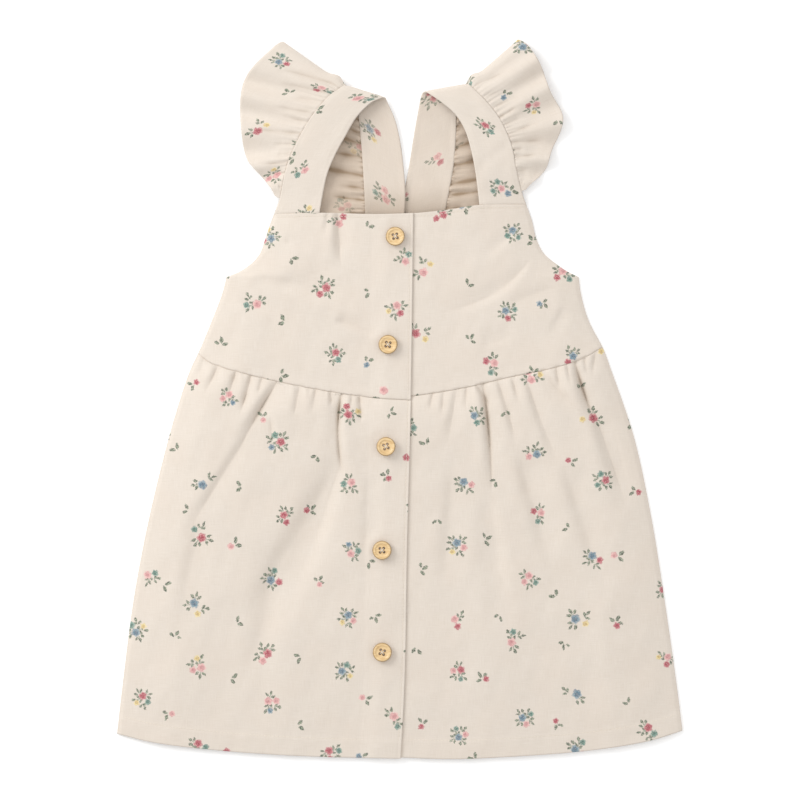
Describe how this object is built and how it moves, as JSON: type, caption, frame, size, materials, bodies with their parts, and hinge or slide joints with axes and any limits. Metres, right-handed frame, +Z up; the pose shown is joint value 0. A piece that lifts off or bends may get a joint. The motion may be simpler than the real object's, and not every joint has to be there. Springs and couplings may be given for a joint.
{
  "type": "toddler sundress laid flat",
  "caption": "Sleeveless toddler sundress with a buttoned front, a gathered skirt and ruffled shoulder straps, lying flat face up.",
  "frame": {"origin": "on the table under the middle of the dress's outline", "axes": "+X to the viewer's right across the dress, +Y up the garment from hem to shoulders, +Z up from the table"},
  "size_m": [0.4247, 0.5402, 0.0164],
  "materials": {
    "printed_linen": "matte linen and cotton weave in oatmeal, with a scattered flower print",
    "button_wood": "satin pale turned wood"
  },
  "bodies": {
    "root": {"skirt_back": "printed_linen", "bodice_back": "printed_linen", "skirt_front_left": "printed_linen", "skirt_front_right": "printed_linen", "bodice_front_left": "printed_linen", "bodice_front_right": "printed_linen", "strap_left": "printed_linen", "strap_right": "printed_linen", "ruffle_left": "printed_linen", "ruffle_right": "printed_linen", "button_1": "button_wood", "button_2": "button_wood", "button_3": "button_wood", "button_4": "button_wood", "button_5": "button_wood"}
  },
  "joints": []
}
